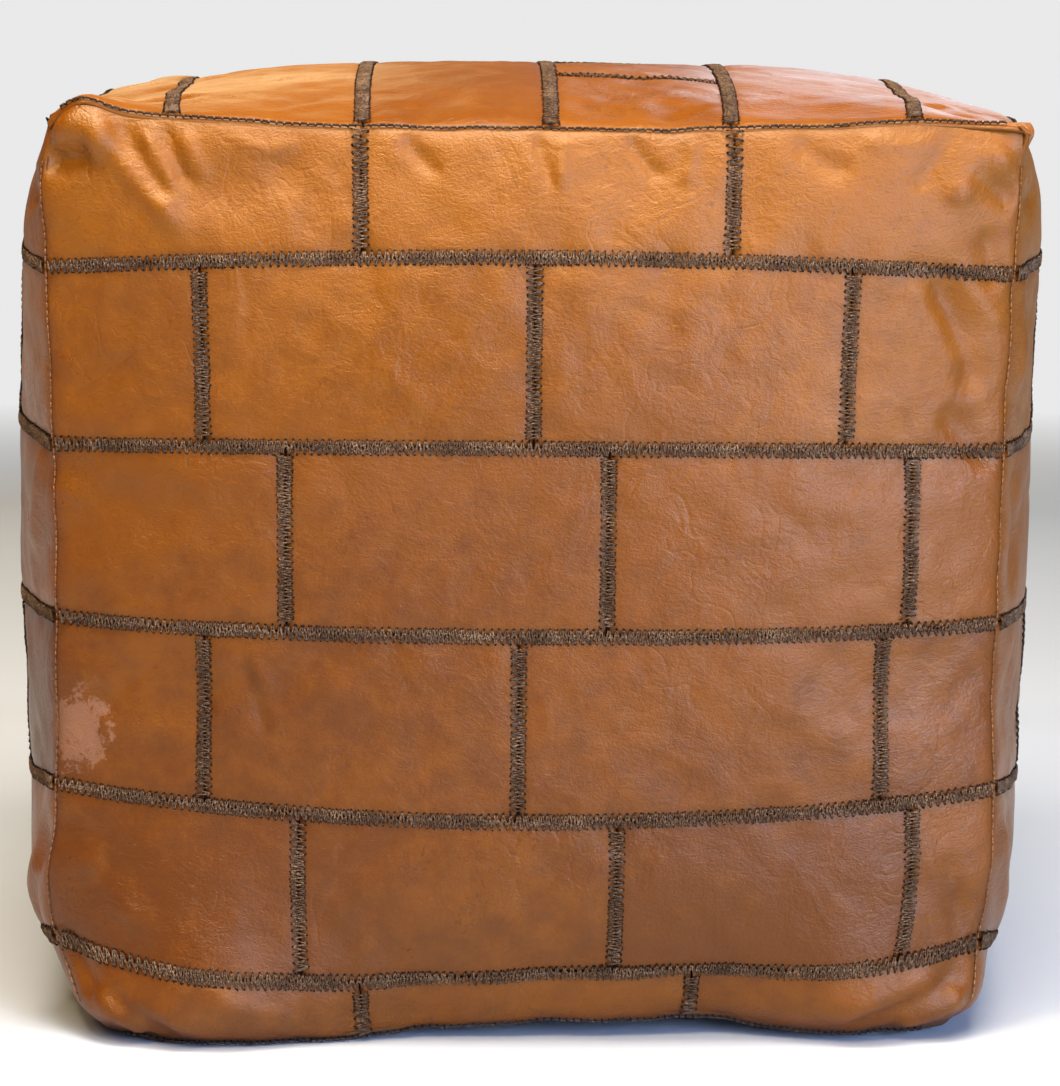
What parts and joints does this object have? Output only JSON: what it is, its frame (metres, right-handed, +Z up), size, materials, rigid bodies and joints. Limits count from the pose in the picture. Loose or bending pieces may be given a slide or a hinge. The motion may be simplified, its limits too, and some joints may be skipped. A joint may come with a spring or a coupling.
{
  "type": "moroccan leather pouf",
  "caption": "Square stuffed leather pouf: patchwork of tan leather bricks joined by dark zigzag stitching, crowned top, plain zipped base.",
  "frame": {"origin": "on the floor, under the middle of the pouf", "axes": "+Z up; -Y is the front face; +X is to the right seen from the front; the base zip runs along X"},
  "size_m": [0.5162, 0.525, 0.4595],
  "materials": {
    "leather_patchwork": "waxed and polished tan hide, uneven patina, fine grain",
    "leather_base": "matt brown hide, plain",
    "thread": "waxed dark brown twisted thread, zigzag stitched",
    "lining_cotton": "unbleached plain weave cotton",
    "filling_scraps": "packed cotton and foam scraps",
    "zip_tape": "woven brown zip tape",
    "zip_metal": "satin brass"
  },
  "bodies": {
    "pouf": {"front_course_1": "leather_patchwork", "front_course_2": "leather_patchwork", "front_course_3": "leather_patchwork", "front_course_4": "leather_patchwork", "front_course_5": "leather_patchwork", "front_course_6": "leather_patchwork", "front_stitching": "thread", "back_course_1": "leather_patchwork", "back_course_2": "leather_patchwork", "back_course_3": "leather_patchwork", "back_course_4": "leather_patchwork", "back_course_5": "leather_patchwork", "back_course_6": "leather_patchwork", "back_stitching": "thread", "left_course_1": "leather_patchwork", "left_course_2": "leather_patchwork", "left_course_3": "leather_patchwork", "left_course_4": "leather_patchwork", "left_course_5": "leather_patchwork", "left_course_6": "leather_patchwork", "left_stitching": "thread", "right_course_1": "leather_patchwork", "right_course_2": "leather_patchwork", "right_course_3": "leather_patchwork", "right_course_4": "leather_patchwork", "right_course_5": "leather_patchwork", "right_course_6": "leather_patchwork", "right_stitching": "thread", "top_course_1": "leather_patchwork", "top_course_2": "leather_patchwork", "top_course_3": "leather_patchwork", "top_course_4": "leather_patchwork", "top_course_5": "leather_patchwork", "top_course_6": "leather_patchwork", "top_stitching": "thread", "base_panel_front": "leather_base", "base_panel_back": "leather_base", "seam_top_front": "thread", "seam_top_back": "thread", "seam_top_left": "thread", "seam_top_right": "thread", "seam_base_front": "thread", "seam_base_back": "thread", "seam_base_left": "thread", "seam_base_right": "thread", "seam_corner_front_left": "thread", "seam_corner_front_right": "thread", "seam_corner_back_left": "thread", "seam_corner_back_right": "thread", "lining_bag": "lining_cotton", "filling": "filling_scraps", "zip_tape_front": "zip_tape", "zip_tape_back": "zip_tape", "zip_teeth_front": "zip_metal", "zip_teeth_back": "zip_metal", "zip_stop_left": "zip_metal", "zip_stop_right": "zip_metal"},
    "zip_slider": {"zip_slider": "zip_metal"},
    "zip_pull": {"zip_pull": "zip_metal"}
  },
  "joints": [
    {"name": "zip_slide", "type": "slide", "parent": "pouf", "child": "zip_slider", "axis": [1, 0, 0], "range_m": [-0.285, 0]},
    {"name": "zip_pull_flip", "type": "hinge", "parent": "zip_slider", "child": "zip_pull", "pos_m": [0.145, 0, 0.0049], "axis": [0, -1, 0], "range_deg": [0, 175]}
  ]
}
